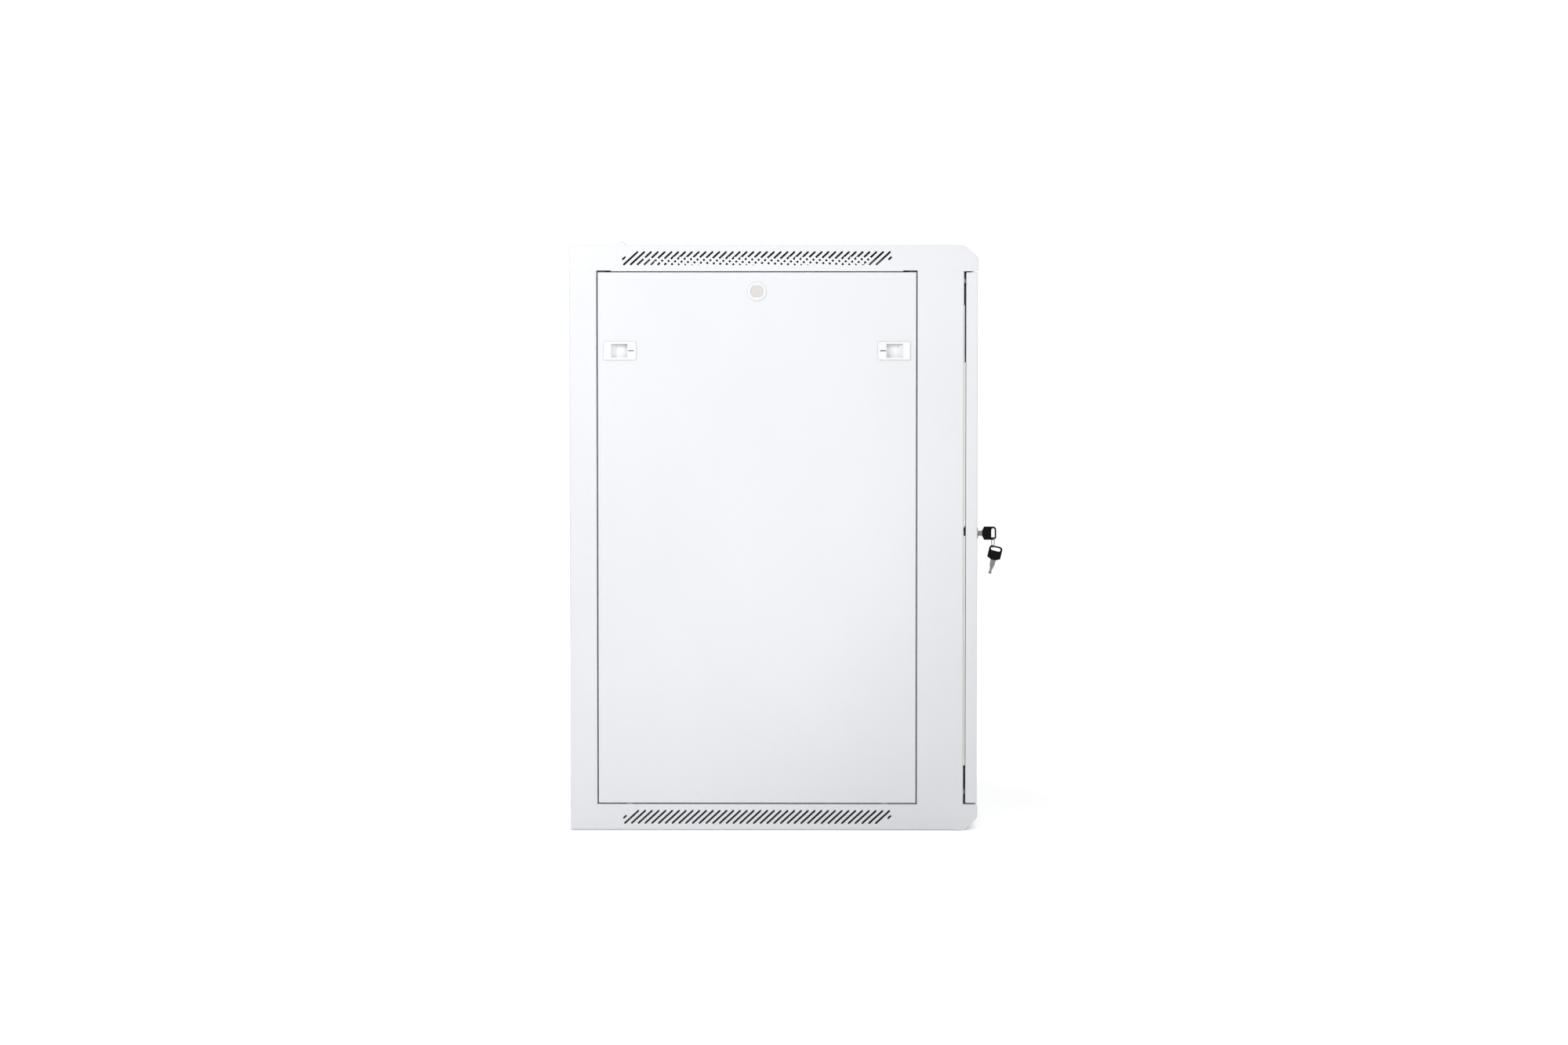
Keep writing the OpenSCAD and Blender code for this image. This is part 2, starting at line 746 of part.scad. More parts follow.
// Puts what is drawn around the Z axis onto the lock's axis, +Z towards the front
module on_lock_axis(y) {
    translate([lock_x, y, lock_z]) rotate([90, 0, 0]) children();
}

module lock_body() {
    color("gray") difference() {
        union() {
            on_lock_axis(barrel_back_y) linear_extrude(barrel_back_y - door_front_y) lock_flats(lock_barrel_r);
            on_lock_axis(door_front_y) cylinder(r = 11, h = 1.6);
            on_lock_axis(door_front_y) cylinder(r = 8.3, h = door_front_y - lock_front_y);
        }
        on_lock_axis(barrel_back_y + cut) cylinder(r = plug_r + touch, h = 60);
    }
}

module lock_nut() {
    color("dimgray") on_lock_axis(door_skin_y + 5) difference() {
        cylinder(r = 13.5, h = 5, $fn = 6);
        translate([0, 0, -cut]) linear_extrude(5 + 2 * cut) lock_flats(lock_barrel_r + touch);
    }
}

module lock_plug() {
    color("silver") difference() {
        union() {
            on_lock_axis(barrel_back_y + 0.5) cylinder(r = plug_r, h = barrel_back_y + 0.5 - lock_front_y);
            on_lock_axis(cam_y0 + cam_t) linear_extrude(cam_y0 + cam_t - barrel_back_y) square(7, center = true);
        }
        box([lock_x - blade_t / 2 - 0.08, lock_front_y - cut, lock_z - 4.1],
            [lock_x + blade_t / 2 + 0.08, lock_front_y + 17, lock_z + 4.1]);
        on_lock_axis(cam_y0 + cam_t + cut) cylinder(r = 2, h = 9);
    }
}

module lock_cam() {
    color("silver") on_lock_axis(cam_y0 + cam_t) difference() {
        linear_extrude(cam_t) {
            circle(9);
            translate([-8, -32]) square([16, 32]);
        }
        translate([0, 0, -cut]) linear_extrude(cam_t + 2 * cut) square(7.1, center = true);
    }
}

module cam_screw() {
    color("silver") on_lock_axis(cam_y0 + cam_t) mirror([0, 0, 1]) bolt(6, 2.4, 1.95, 7);
}

// Blade of a key: u runs from the head's outer end to the tip
module blade_outline() {
    tip_u = head_len + blade_len;
    polygon([
        [head_len - 8, -3], [head_len, -4], [head_len + 7, -4], [head_len + 15, -1.9],
        [tip_u - 3, -1.3], [tip_u - 3, 1.3], [head_len + 12, 1.9], [head_len + 7, 3.4],
        [head_len, 4], [head_len - 8, 3]
    ]);
    translate([tip_u - 2.4, 0]) circle(2.4);
}

// Head of a key: chamfered towards the blade, rounded at the outer end
module head_outline() {
    r = 4.5;
    half = head_h / 2;
    difference() {
        union() {
            polygon([
                [0, -half + r], [r, -half], [head_len - 3, -half], [head_len, -3.6],
                [head_len, 3.6], [head_len - 3, half], [r, half], [0, half - r]
            ]);
            for (v = [-1, 1]) translate([r, v * (half - r)]) circle(r);
        }
        translate([strap_u + hole_u / 2, 0]) rotate(90) slot(hole_v, hole_u);
    }
}

// Stands a key's outline, drawn as (u, v), into the plane x = 0; u runs along +Y and v along +Z
module key_plate(t) {
    rotate([90, 0, 90]) linear_extrude(t, center = true) children();
}

module blade_solid() {
    difference() {
        key_plate(blade_t) blade_outline();
        for (side = [-1, 1]) translate([side * blade_t / 2, head_len + 5, 0.6]) cube([0.8, 14, 1.4], center = true);
    }
}

module head_solid() {
    difference() {
        key_plate(head_t) head_outline();
        key_plate(blade_t) blade_outline();
    }
}

key_tail_y = key_root_y - head_len; // outer end of the key in the lock

module key_blade() {
    color("silver") translate([lock_x, key_tail_y, lock_z]) blade_solid();
}

module key_head() {
    color("black") translate([lock_x, key_tail_y, lock_z]) head_solid();
}

ring_r = 7.6;               // centre line of the ring's wire
ring_wire_r = 0.6;
ring_yaw = 12;
ring_slack = 2;             // from the middle of the head's rim to the inside of the ring
rim_v = (head_h + hole_v) / 4;      // middle of the rim that the ring goes round
ring_y = key_tail_y + strap_u + hole_u / 2;
ring_z = lock_z - rim_v + ring_slack - (ring_r - ring_wire_r);

module key_ring() {
    color("silver") translate([lock_x, ring_y, ring_z]) rotate([90, 0, ring_yaw])
        rotate_extrude($fn = 64) translate([ring_r, 0]) circle(ring_wire_r, $fn = 24);
}

spare_tilt = 14;
spare_v = (hole_v - hole_u) / 2;    // where along its hole the spare key hangs
spare_u = strap_u + ring_wire_r + 0.25;

// Hangs a key from the lowest point of the ring, its blade down
module hang() {
    translate([lock_x, ring_y, ring_z - ring_r]) rotate([-90 + spare_tilt, 0, 0])
        translate([0, -spare_u, -spare_v]) children();
}

module spare_key_blade() {
    color("silver") hang() blade_solid();
}

module spare_key_head() {
    color("black") hang() head_solid();
}

// ---------------------------------------------------------------- side panels and their slides

cup_len = 24;
cup_h = 20;
cup_depth = 7;
cup_wall = 1;
plate_len = 47.4;
plate_h = 26.2;
plate_t = 1.5;
latch_travel = 8;
bolt_gap = 0.3;             // what is left between a slide's bolt and the post's rebate
plate_out = 23.6;           // from the slide's centre to its straight end
cup_out = 13;               // from the slide's centre to the outer side of its cup
guide_end = 12;             // how far the guide reaches past the cup, for the spring
latch_spring_r = 3.2;
blank_r = 13.7;
blank_hole_r = 10;

// Places a slide drawn at y = 0 with its bolt towards +Y; end is 1 for the rear one
module latch_place(side, end) {
    on_side(side) translate([-side_x, panel_mid_y, latch_z])
        mirror([0, end > 0 ? 0 : 1, 0]) translate([0, latch_spread, 0]) children();
}

module latch_windows() {
    for (end = [-1, 1]) latch_place(-1, end) box(
        [-cut, cup_out - cup_len - 2 * cup_wall - latch_travel, -cup_h / 2 - cup_wall - 0.1],
        [sheet + cut, cup_out + cup_wall + 0.1, cup_h / 2 + cup_wall + 0.1]);
}

module side_panel(side) {
    back = -side_x + panel_fold;
    color("whitesmoke") on_side(side) {
        difference() {
            box([-side_x, panel_y0, panel_z0], [back, panel_y1, panel_z1]);
            box([-side_x + sheet, panel_y0 + sheet, panel_z0 + sheet], [back + cut, panel_y1 - sheet, panel_z1 - sheet]);
            latch_windows();
            along_x(-side_x, 10) translate([panel_mid_y, blank_z]) lock_flats(blank_hole_r + touch);
        }
        for (y = tab_ys) box([-side_x + 3, y - 4, panel_z0 - 10], [-side_x + 3 + sheet, y + 4, panel_z0 + sheet / 2]);
    }
}

// Plastic blank in the panel's lock hole
module lock_blank(side) {
    color("linen") on_side(side) translate([-side_x, panel_mid_y, blank_z]) difference() {
        union() {
            rotate([0, -90, 0]) cylinder(r = blank_r, h = 1.3);
            along_x(4.5, 9.2) lock_flats(blank_hole_r);
        }
        along_x(-1.2, 1.4) lock_flats(blank_hole_r - 0.4);
    }
}

// Radius of the bowed end of a slide's plate
end_curve_r = 60;

// Outline of a slide's plate as (y, z): one end straight, the other bowed
module plate_outline() {
    intersection() {
        translate([plate_out - plate_len, -plate_h / 2]) square([plate_len, plate_h]);
        translate([plate_out - plate_len + end_curve_r, 0]) circle(end_curve_r, $fn = 96);
    }
}

module latch_slide(side, end) {
    color("white") latch_place(side, end) {
        cup_in = cup_out - cup_len;
        bolt_tip = bay_back_y - lip_depth - bolt_gap - panel_mid_y - latch_spread;
        difference() {
            union() {
                along_x(-touch - plate_t / 2, plate_t) plate_outline();
                box([-touch - plate_t / 2, cup_in - cup_wall, -cup_h / 2 - cup_wall],
                    [cup_depth + cup_wall, cup_out + cup_wall, cup_h / 2 + cup_wall]);
                box([cup_depth, cup_out - 12, -8], [17, cup_out + cup_wall, 8]);
                box([13.8, cup_out - 12, -8], [17, bolt_tip, 8]);
            }
            difference() {
                box([-plate_t - cut, cup_in, -cup_h / 2], [cup_depth, cup_out, cup_h / 2]);
                ramp();
            }
            translate([-plate_t - cut, cup_in - 9.5, -0.6]) cube([plate_t + 2 * cut, 8.5, 1.2]);
        }
    }
}

// Sloping floor at the outer end of a slide's cup
module ramp() {
    translate([0, 0, -cup_h / 2 - cut]) linear_extrude(cup_h + 2 * cut) polygon([
        [cup_depth + cut, cup_out - 8], [cup_depth, cup_out - 8], [-plate_t * 0.6, cup_out + cut],
        [cup_depth + cut, cup_out + cut]
    ]);
}

// Guides on the inside of a panel: two runners and a spring seat for each slide
module latch_guides(side) {
    color("white") for (end = [-1, 1]) latch_place(side, end) {
        seat = cup_out - cup_len - cup_wall - latch_travel - guide_end;
        inner = cup_h / 2 + cup_wall + 0.2;
        for (up = [-1, 1]) mirror([0, 0, up > 0 ? 0 : 1])
            box([sheet, seat, inner], [11, cup_out + 5, inner + 2.5]);
        box([sheet, seat, -inner - 1], [11, seat + 2, inner + 1]);
    }
}

module latch_spring(side, end) {
    seat = cup_out - cup_len - cup_wall - latch_travel - guide_end + 2;
    color("silver") latch_place(side, end) translate([5.6, seat + touch, 0]) rotate([-90, 0, 0])
        coil_spring(latch_travel + guide_end - 2 - 2 * touch, latch_spring_r, 0.4, 6);
}

// ---------------------------------------------------------------- nodes

roof();
floor();
front_post(-1);  // front_post_left
front_post(1);  // front_post_right
rear_post(-1);  // rear_post_left
rear_post(1);  // rear_post_right
rear_panel();
support(-1, support_high_z);  // support_upper_left
support(1, support_high_z);  // support_upper_right
support(-1, support_low_z);  // support_lower_left
support(1, support_low_z);  // support_lower_right
rail(-1, front_rail_y, 1, rail_bolt_ys[0]);  // front_rail_left
rail(1, front_rail_y, 1, rail_bolt_ys[0]);  // front_rail_right
rail(-1, rear_rail_y, -1, rail_bolt_ys[1]);  // rear_rail_left
rail(1, rear_rail_y, -1, rail_bolt_ys[1]);  // rear_rail_right
frame_screws();
rail_bolts();
rail_nuts();
rear_panel_screws();
roof_thumb_screw();
floor_thumb_screw();
cover_rivets();
earth_stud();
earth_nuts();
hinge_bushes();
door_buffers();
roof_cable_cover();
floor_cable_cover();
door_frame();
door_glass();
glass_seal();
glass_clips();
hinge_brackets();
lower_hinge_pin();
upper_hinge_pin();
hinge_pin_spring();
lock_body();
lock_nut();
lock_plug();
lock_cam();
cam_screw();
key_blade();
key_head();
key_ring();
spare_key_blade();
spare_key_head();
side_panel(-1);  // side_panel_left
side_panel(1);  // side_panel_right
lock_blank(-1);  // lock_blank_left
lock_blank(1);  // lock_blank_right
latch_guides(-1);  // latch_guides_left
latch_guides(1);  // latch_guides_right
latch_slide(-1, 1);  // latch_rear_left
latch_slide(-1, -1);  // latch_front_left
latch_slide(1, 1);  // latch_rear_right
latch_slide(1, -1);  // latch_front_right
latch_spring(-1, 1);  // spring_rear_left
latch_spring(-1, -1);  // spring_front_left
latch_spring(1, 1);  // spring_rear_right
latch_spring(1, -1);  // spring_front_right
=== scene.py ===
"""Looks of the wall-mount 19-inch network cabinet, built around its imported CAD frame, in metres.

-X is the cabinet's left side, the door is at -Y, the wall is at +Y and +Z is up.
"""
import json
import math

import bmesh
import bpy
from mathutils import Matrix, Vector

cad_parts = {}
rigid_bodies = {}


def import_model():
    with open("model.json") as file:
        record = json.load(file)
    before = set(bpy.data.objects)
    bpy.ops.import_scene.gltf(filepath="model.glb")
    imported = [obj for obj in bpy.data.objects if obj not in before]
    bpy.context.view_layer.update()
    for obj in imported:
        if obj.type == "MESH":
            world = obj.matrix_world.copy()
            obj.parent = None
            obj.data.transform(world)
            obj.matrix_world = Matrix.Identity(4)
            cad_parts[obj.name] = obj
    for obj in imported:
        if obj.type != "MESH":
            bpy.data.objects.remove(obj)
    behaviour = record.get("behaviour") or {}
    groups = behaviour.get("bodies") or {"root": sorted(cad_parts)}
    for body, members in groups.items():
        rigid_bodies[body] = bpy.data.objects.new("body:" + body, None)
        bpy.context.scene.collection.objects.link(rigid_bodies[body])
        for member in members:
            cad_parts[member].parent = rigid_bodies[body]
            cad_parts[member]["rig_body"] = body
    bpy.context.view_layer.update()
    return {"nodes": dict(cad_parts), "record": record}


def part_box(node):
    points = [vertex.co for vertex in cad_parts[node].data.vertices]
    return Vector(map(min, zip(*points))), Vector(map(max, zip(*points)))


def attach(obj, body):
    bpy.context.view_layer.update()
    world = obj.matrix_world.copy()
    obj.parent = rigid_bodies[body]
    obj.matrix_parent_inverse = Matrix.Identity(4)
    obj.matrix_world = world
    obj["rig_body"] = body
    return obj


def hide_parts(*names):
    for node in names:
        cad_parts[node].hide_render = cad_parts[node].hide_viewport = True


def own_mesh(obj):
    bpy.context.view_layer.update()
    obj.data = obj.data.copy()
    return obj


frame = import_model()
nodes = frame["nodes"]

TOUCHING = 2e-6                 # points closer than this are one point
ON_PLANE = 2e-5                 # a point nearer to a plane than this lies in it
SHARP = math.radians(32)        # an edge that turns more than this is sharp
FOLD = math.radians(30)         # and more than this is a fold

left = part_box("side_panel_left")[0].x
door_low, door_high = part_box("door_frame")
panel_low, panel_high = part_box("side_panel_left")
roof_low, roof_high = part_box("roof")
cabinet_mid = Vector((0, 0, roof_high.z / 2))


# ---------------------------------------------------------------- materials

class Surface:
    """A node material that is built up from procedural textures in the cabinet's own frame."""

    def __init__(self, name, colour, metallic=0.0, roughness=0.4):
        self.material = bpy.data.materials.new(name)
        self.material.use_nodes = True
        self.material.diffuse_color = (*colour, 1)
        self.tree = self.material.node_tree
        self.shader = self.tree.nodes["Principled BSDF"]
        self.place = self.add("ShaderNodeTexCoord").outputs["Object"]
        self.set("Base Color", (*colour, 1))
        self.set("Metallic", metallic)
        self.set("Roughness", roughness)

    def add(self, kind, values=(), **settings):
        node = self.tree.nodes.new(kind)
        for key, value in settings.items():
            setattr(node, key, value)
        for key, value in dict(values).items():
            if isinstance(value, bpy.types.NodeSocket):
                self.tree.links.new(value, node.inputs[key])
            else:
                node.inputs[key].default_value = value
        return node

    def set(self, key, value):
        if isinstance(value, bpy.types.NodeSocket):
            self.tree.links.new(value, self.shader.inputs[key])
        else:
            self.shader.inputs[key].default_value = value

    def stretched(self, scale):
        """The place, stretched along some axes, for brushed or drawn surfaces."""
        return self.add("ShaderNodeMapping", {"Vector": self.place, "Scale": scale}).outputs["Vector"]

    def noise(self, scale, detail=2.0, roughness=0.5, place=None):
        return self.add("ShaderNodeTexNoise", {
            "Vector": place or self.place, "Scale": scale, "Detail": detail, "Roughness": roughness,
        }).outputs["Fac"]

    def spread(self, value, low, high, start=0.3, stop=0.7):
        """value, which runs from start to stop, moved to run from low to high."""
        return self.add("ShaderNodeMapRange", {
            "Value": value, "From Min": start, "From Max": stop, "To Min": low, "To Max": high,
        }).outputs["Result"]

    def sum(self, a, b, how="ADD"):
        return self.add("ShaderNodeMath", {0: a, 1: b}, operation=how).outputs[0]

    def mixed(self, share, first, second):
        node = self.add("ShaderNodeMix", data_type="RGBA")
        for key, value in ((0, share), (6, first), (7, second)):
            if isinstance(value, bpy.types.NodeSocket):
                self.tree.links.new(value, node.inputs[key])
            else:
                node.inputs[key].default_value = value
        return node.outputs[2]

    def edges(self, radius, gain=3.0):
        """0 on flat faces and up to 1 where the surface turns within radius."""
        rounded = self.add("ShaderNodeBevel", {"Radius": radius}, samples=3).outputs["Normal"]
        plain = self.add("ShaderNodeNewGeometry").outputs["Normal"]
        likeness = self.add("ShaderNodeVectorMath", {0: rounded, 1: plain}, operation="DOT_PRODUCT")
        return self.spread(likeness.outputs["Value"], gain, 0.0, 0.0, 1.0)

    def bump(self, height, depth, below=None):
        values = {"Height": height, "Distance": depth, "Strength": 1.0}
        if below is not None:
            values["Normal"] = below
        return self.add("ShaderNodeBump", values).outputs["Normal"]


def shade(colour, factor):
    return (*(min(1.0, c * factor) for c in colour), 1)


def powder_coat(name, colour):
    """Satin powder coat with a fine orange peel, and a painted highlight that makes it paler along the
    folds.
    """
    s = Surface(name, colour)
    tone = s.mixed(s.spread(s.noise(5), 0, 1), shade(colour, 0.988), shade(colour, 1.012))
    # painted highlight: the colour is 7 % paler where the surface turns within 1.2 mm, along folds and
    # edges
    s.set("Base Color", s.mixed(s.edges(0.0012, 0.8), tone, shade(colour, 1.07)))
    s.set("Roughness", s.sum(s.spread(s.noise(240, 3), 0.36, 0.46), s.spread(s.noise(9), -0.02, 0.03)))
    s.set("Specular IOR Level", 0.42)
    peel = s.bump(s.noise(520, 2), 0.000016)
    s.set("Normal", s.bump(s.noise(1900, 1), 0.000005, peel))
    return s.material


def zinc_plate(name, colour, roughness=0.3):
    """Bright zinc: a slightly uneven, cool metal with a duller skin and polished edges."""
    s = Surface(name, colour, 1.0)
    skin = s.spread(s.noise(160, 4, 0.6), 0, 1)
    s.set("Base Color", s.mixed(skin, shade(colour, 0.86), shade(colour, 1.04)))
    s.set("Roughness", s.sum(s.spread(s.noise(420, 3), roughness - 0.06, roughness + 0.1),
                             s.edges(0.0004, -0.12)))
    s.set("Normal", s.bump(s.noise(1500, 2), 0.000004))
    return s.material


def drawn_metal(name, colour, roughness, scale, metal=1.0):
    """Metal with fine lines along one axis, from drawing, milling or brushing."""
    s = Surface(name, colour, metal)
    lines = s.noise(1, 3, 0.6, s.stretched(scale))
    s.set("Base Color", s.mixed(s.spread(lines, 0, 1), shade(colour, 0.8), shade(colour, 1.08)))
    s.set("Roughness", s.spread(lines, roughness - 0.06, roughness + 0.12))
    s.set("Normal", s.bump(lines, 0.000006))
    return s.material


CUP_LIGHT_START, CUP_LIGHT_FULL = 0.001, 0.005     # how far inside the side face the painted light on the finger cups' shaded floors starts and reaches full


def moulded_plastic(name, colour, roughness, grain, depth, wear=1.1, gloss=0.5, cup_painted_light=None):
    """Injection-moulded plastic with an eroded grain that rubs smooth and paler at the edges.

    The colour given for the finger cups is painted light: what lies well inside the cabinet's side faces,
    such as the cups' floors in shade, is drawn paler in it so that it looks bright.
    """
    s = Surface(name, colour)
    s.set("Specular IOR Level", gloss)
    tone = s.mixed(s.spread(s.noise(45), 0, 1), shade(colour, 0.97), shade(colour, 1.03))
    # painted light: from 1 mm to 5 mm inside the side face the colour turns paler, so the finger cups'
    # shaded floors look bright
    if cup_painted_light:
        across = s.sum(s.add("ShaderNodeSeparateXYZ", {0: s.place}).outputs["X"], 0, "ABSOLUTE")
        painted_light_share = s.spread(across, 0, 1, abs(left) - CUP_LIGHT_START, abs(left) - CUP_LIGHT_FULL)
        tone = s.mixed(painted_light_share, tone, shade(cup_painted_light, 1))
    worn = s.edges(0.0005, 1.0)
    s.set("Base Color", s.mixed(worn, tone, shade(colour, wear)))
    s.set("Roughness", s.sum(s.spread(s.noise(grain * 0.5, 2), roughness - 0.05, roughness + 0.07),
                             s.sum(worn, -0.08, "MULTIPLY")))
    s.set("Normal", s.bump(s.noise(grain, 3, 0.6), depth))
    return s.material


BLANK_ROUND = 0.00975           # from the blank's middle to where its light flange begins
BLANK_FLAT = 0.00835            # the same, above and below, where the hole has its flats
BLANK_SEAM = 0.00015            # half the width over which the two tones meet


def blank_plastic(name, colour, rim):
    """Warm grey plastic whose flange is light. The hole's shape, round with two flats, parts the two."""
    s = Surface(name, colour, roughness=0.46)
    low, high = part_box("lock_blank_left")
    away = s.add("ShaderNodeVectorMath", {0: s.place, 1: (low + high) / 2}, operation="SUBTRACT").outputs[0]
    flat = s.add("ShaderNodeVectorMath", {0: away, 1: (0, 1, 1)}, operation="MULTIPLY").outputs[0]
    reach = s.add("ShaderNodeVectorMath", {0: flat}, operation="LENGTH").outputs["Value"]
    up = s.sum(s.add("ShaderNodeSeparateXYZ", {0: away}).outputs["Z"], 0, "ABSOLUTE")
    past_round = s.spread(reach, 0, 1, BLANK_ROUND - BLANK_SEAM, BLANK_ROUND + BLANK_SEAM)
    past_flat = s.spread(up, 0, 1, BLANK_FLAT - BLANK_SEAM, BLANK_FLAT + BLANK_SEAM)
    tone = s.mixed(s.sum(past_round, past_flat, "MAXIMUM"), shade(colour, 1), shade(rim, 1))
    mottled = s.mixed(s.spread(s.noise(600, 3), 0, 0.06), tone, shade(colour, 0.7))
    s.set("Base Color", mottled)
    s.set("Normal", s.bump(s.noise(1500, 3, 0.6), 0.000014))
    return s.material


def foam_rubber(name, colour):
    """Closed-cell foam: matt, with small pits."""
    s = Surface(name, colour, roughness=0.85)
    cells = s.add("ShaderNodeTexVoronoi", {"Vector": s.place, "Scale": 1400.0}).outputs["Distance"]
    s.set("Base Color", s.mixed(s.spread(cells, 0, 1, 0.1, 0.6), shade(colour, 0.6), shade(colour, 1.5)))
    s.set("Normal", s.bump(cells, 0.00008))
    return s.material


def smoked_glass(name, tint):
    """Tempered smoked glass, drawn as clear tinted faces with a sharp Fresnel reflection."""
    s = Surface(name, tint, roughness=0.02)
    ripple = s.bump(s.noise(2.5, 1), 0.00003)
    pane = s.add("ShaderNodeBsdfTransparent", {"Color": (*tint, 1)})
    gleam = s.add("ShaderNodeBsdfGlossy", {
        "Color": (1, 1, 1, 1), "Roughness": s.spread(s.noise(12, 2), 0.0, 0.012), "Normal": ripple,
    })
    share = s.add("ShaderNodeFresnel", {"IOR": 1.52, "Normal": ripple})
    mix = s.add("ShaderNodeMixShader", {0: share.outputs[0], 1: pane.outputs[0], 2: gleam.outputs[0]})
    s.tree.links.new(mix.outputs[0], s.tree.nodes["Material Output"].inputs["Surface"])
    return s.material


LINES_Y = (2500, 40, 2500)      # stretches noise into lines along Y
LINES_Z = (2500, 2500, 60)

materials = {
    "powder_coat": powder_coat("powder_coat_light_grey", (0.418, 0.424, 0.437)),
    "rail_coat": powder_coat("powder_coat_rails", (0.38, 0.388, 0.40)),
    "zinc_plate": zinc_plate("zinc_plate", (0.63, 0.64, 0.66)),
    "brass": zinc_plate("brass", (0.72, 0.53, 0.24), 0.26),
    "nylon": moulded_plastic("nylon_natural", (0.43, 0.425, 0.40), 0.42, 900, 0.000006),
    "tempered_glass": smoked_glass("smoked_glass", (0.47, 0.49, 0.51)),
    "foam_seal": foam_rubber("foam_rubber", (0.018, 0.018, 0.02)),
    "spring_steel": drawn_metal("spring_steel", (0.46, 0.47, 0.49), 0.28, LINES_Y),
    "lock_chrome": zinc_plate("lock_black_chrome", (0.11, 0.11, 0.115), 0.2),
    "lock_steel": zinc_plate("lock_dark_zinc", (0.16, 0.165, 0.17), 0.38),
    "key_steel": drawn_metal("key_nickel", (0.20, 0.20, 0.196), 0.3, LINES_Z),
    "key_plastic": moulded_plastic("key_plastic_black", (0.003, 0.003, 0.004), 0.42, 1600, 0.000022,
                                   wear=2.2, gloss=0.05),
    "blank_plastic": blank_plastic("blank_plastic", (0.355, 0.343, 0.336), (0.432, 0.437, 0.445)),
    # the second colour is painted light for the finger cups' shaded floors
    "latch_plastic": moulded_plastic("latch_plastic", (0.462, 0.467, 0.476), 0.3, 700, 0.000006,
                                     cup_painted_light=(0.53, 0.535, 0.545)),
}
node_slot = {part["node"]: part["material_slot"] for part in frame["record"]["subparts"]}
for name, obj in nodes.items():
    obj.material_slots[0].material = materials[node_slot[name]]


# ---------------------------------------------------------------- pieces made from CAD nodes

def whole_faces(node):
    """A bmesh of a CAD node at rest, with its triangles joined into whole flat faces."""
    source = nodes[node].data
    bm = bmesh.new()
    points = [bm.verts.new(v.co) for v in source.vertices]
    for polygon in source.polygons:
        bm.faces.new([points[i] for i in polygon.vertices])
    bmesh.ops.remove_doubles(bm, verts=bm.verts, dist=TOUCHING)
    bmesh.ops.dissolve_limit(bm, angle_limit=math.radians(0.2), verts=bm.verts, edges=bm.edges)
    return bm


def rounded(bm, edges, radius, segments):
    bmesh.ops.bevel(bm, geom=edges, offset=radius, offset_type="OFFSET", segments=segments,
                    profile=0.5, affect="EDGES", clamp_overlap=False)


def finished(bm, name, node):
    """Turns a bmesh into the piece that stands for a CAD node, in its material and on its body."""
    mesh = bpy.data.meshes.new(name)
    bm.to_mesh(mesh)
    bm.free()
    piece = bpy.data.objects.new(name, mesh)
    bpy.context.scene.collection.objects.link(piece)
    mesh.materials.append(materials[node_slot[node]])
    mesh.shade_smooth()
    mesh.set_sharp_from_angle(angle=SHARP)
    weigh = piece.modifiers.new("flat faces stay flat", "WEIGHTED_NORMAL")
    weigh.keep_sharp = True
    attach(piece, nodes[node]["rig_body"])
    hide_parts(node)
    return piece


def on_planes(edge, planes):
    """How many of the planes, each (axis, place), the whole edge lies in."""
    return sum(all(abs(v.co[axis] - place) < ON_PLANE for v in edge.verts) for axis, place in planes)


FOLD_RADIUS = 0.0017            # outside of a folded sheet
FOLD_STEPS = 4


def folded_box(node, name, planes):
    """A folded sheet: every edge where two of its outer planes meet is rounded."""
    bm = whole_faces(node)
    folds = [e for e in bm.edges if on_planes(e, planes) >= 2]
    rounded(bm, folds, FOLD_RADIUS, FOLD_STEPS)
    return finished(bm, name, node)


def side_panel(side_name, side):
    folded_box(f"side_panel_{side_name}", f"side_panel_{side_name}_sheet", [
        (0, side * abs(left)), (1, panel_low.y), (1, panel_high.y), (2, door_low.z), (2, door_high.z),
    ])


def tray(node, name, flat_z):
    """Roof or floor: its long folds, its corners and the outline of its nose are rounded."""
    bm = whole_faces(node)
    half = abs(left)
    planes = [(0, half), (0, -half), (1, roof_high.y), (2, flat_z)]
    rim_way = 1 if flat_z < cabinet_mid.z else -1

    def is_fold(edge):
        if len(edge.link_faces) != 2 or edge.calc_face_angle(0) < FOLD:
            return False
        if any(f.normal.z * rim_way > 0.9 for f in edge.link_faces):
            return False
        middle = (edge.verts[0].co + edge.verts[1].co) / 2
        beside_nose = middle.y < door_high.y and on_planes(edge, planes[:2])
        return on_planes(edge, planes) >= 2 or beside_nose

    rounded(bm, [e for e in bm.edges if is_fold(e)], FOLD_RADIUS, FOLD_STEPS)
    return finished(bm, name, node)


def softened(node, name, radius, segments=2):
    """A moulded or turned piece with all its sharp edges broken."""
    bm = whole_faces(node)
    sharp = [e for e in bm.edges if len(e.link_faces) == 2 and e.calc_face_angle(0) > SHARP]
    bmesh.ops.bevel(bm, geom=sharp, offset=radius, offset_type="OFFSET", segments=segments,
                    profile=0.5, affect="EDGES", clamp_overlap=True)
    return finished(bm, name, node)


for side_name, side in (("left", -1), ("right", 1)):
    side_panel(side_name, side)
    softened(f"lock_blank_{side_name}", f"lock_blank_{side_name}_moulded", 0.0003)
    for end in ("rear", "front"):
        softened(f"latch_{end}_{side_name}", f"latch_{end}_{side_name}_moulded", 0.00035, 3)

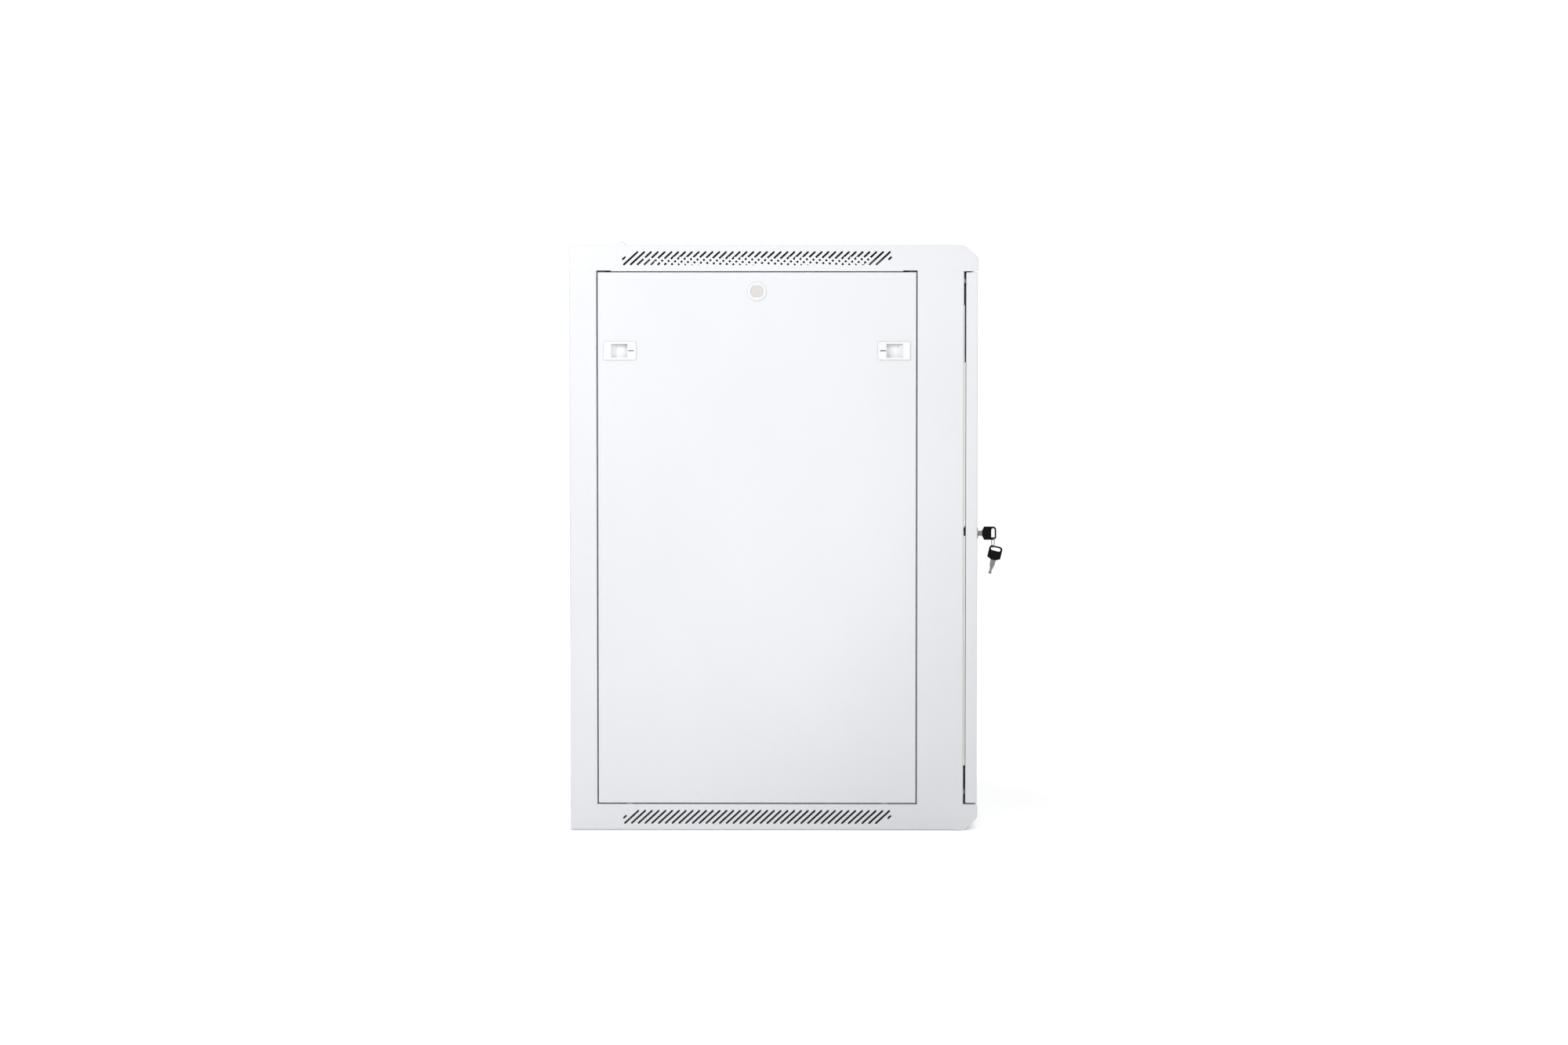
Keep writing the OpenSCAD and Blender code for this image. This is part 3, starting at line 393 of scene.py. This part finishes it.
folded_box("door_frame", "door_frame_sheet", [
    (0, door_low.x), (0, door_high.x), (1, door_low.y), (1, door_high.y),
    (2, door_low.z), (2, door_high.z),
])
tray("roof", "roof_sheet", roof_high.z)
tray("floor", "floor_sheet", 0.0)
softened("key_head", "key_head_moulded", 0.00045, 3)
softened("spare_key_head", "spare_key_head_moulded", 0.00045, 3)
softened("roof_thumb_screw", "roof_thumb_screw_turned", 0.00025)
softened("floor_thumb_screw", "floor_thumb_screw_turned", 0.00025)
softened("lock_body", "lock_body_turned", 0.0003)
softened("lock_plug", "lock_plug_turned", 0.0002)
softened("key_blade", "key_blade_milled", 0.00012)
softened("spare_key_blade", "spare_key_blade_milled", 0.00012)


def coil(node):
    """A coil spring, drawn from its CAD node's mesh and given a mesh of its own."""
    spring = finished(whole_faces(node), f"{node}_coil", node)
    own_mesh(spring)


coil("hinge_pin_spring")
for side_name in ("left", "right"):
    for end in ("rear", "front"):
        coil(f"spring_{end}_{side_name}")


# ---------------------------------------------------------------- stage, lights and camera

def stage_floor():
    half_size = 60
    below_feet = 0.0004
    bm = bmesh.new()
    bmesh.ops.create_grid(bm, x_segments=1, y_segments=1, size=half_size)
    mesh = bpy.data.meshes.new("studio_floor")
    bm.to_mesh(mesh)
    bm.free()
    floor = bpy.data.objects.new("studio_floor", mesh)
    floor.location.z = -below_feet
    bpy.context.scene.collection.objects.link(floor)
    s = Surface("studio_floor_white", (0.955, 0.955, 0.955), roughness=0.9)
    s.set("Specular IOR Level", 0.1)
    s.set("Roughness", s.spread(s.noise(3), 0.85, 0.95))
    mesh.materials.append(s.material)


def studio_world():
    """White all round at the horizon, a little dimmer overhead."""
    world = bpy.data.worlds.new("studio")
    bpy.context.scene.world = world
    world.use_nodes = True
    tree = world.node_tree
    place = tree.nodes.new("ShaderNodeTexCoord")
    split = tree.nodes.new("ShaderNodeSeparateXYZ")
    reach = tree.nodes.new("ShaderNodeMapRange")
    tree.links.new(place.outputs["Generated"], split.inputs[0])
    tree.links.new(split.outputs["Z"], reach.inputs["Value"])
    for key, value in (("From Min", 0.1), ("From Max", 0.9), ("To Min", 1.12), ("To Max", 1.08)):
        reach.inputs[key].default_value = value
    back = tree.nodes["Background"]
    back.inputs["Color"].default_value = (1, 1, 1, 1)
    tree.links.new(reach.outputs["Result"], back.inputs["Strength"])


def softbox(name, place, aim, size, power):
    light = bpy.data.lights.new(name, "AREA")
    light.shape = "DISK"
    light.size = size
    light.energy = power
    obj = bpy.data.objects.new(name, light)
    obj.location = place
    obj.rotation_euler = (Vector(aim) - Vector(place)).to_track_quat("-Z", "Y").to_euler()
    obj.visible_camera = False
    bpy.context.scene.collection.objects.link(obj)


def studio_camera():
    """Stands just under roof height and looks square at the left side, 2.3 m of it across the frame."""
    distance = 5.0
    seen_width = 2.3
    raised = 0.775
    framed = Vector((left, -0.0149, cabinet_mid.z + 0.024))
    data = bpy.data.cameras.new("camera")
    data.sensor_width = 36
    data.lens = data.sensor_width * distance / seen_width
    data.shift_y = -0.045
    data.clip_end = 200
    camera = bpy.data.objects.new("camera", data)
    camera.location = (left - distance, -0.05, raised)
    aim = framed - Vector((0, 0, data.shift_y * seen_width))
    camera.rotation_euler = (aim - camera.location).to_track_quat("-Z", "Y").to_euler()
    bpy.context.scene.collection.objects.link(camera)
    bpy.context.scene.camera = camera


stage_floor()
studio_world()
softbox("key_light", (-1.3, 0.75, 1.25), (left, 0.1, 0.5), 0.8, 13.4)
softbox("rear_fill", (-0.93, -0.1, 0.3), (left, 1.2, 1.22), 0.6, 1.5)
softbox("door_fill", (-1.5, -0.6, 1.3), (left, -0.1, 0.8), 0.7, 7.6)
softbox("front_light", (1.5, -2.6, 2.0), cabinet_mid, 1.6, 20)
softbox("rear_light", (2.2, 1.8, 2.4), cabinet_mid, 1.6, 18)
studio_camera()
bpy.context.scene.view_settings.view_transform = "Standard"
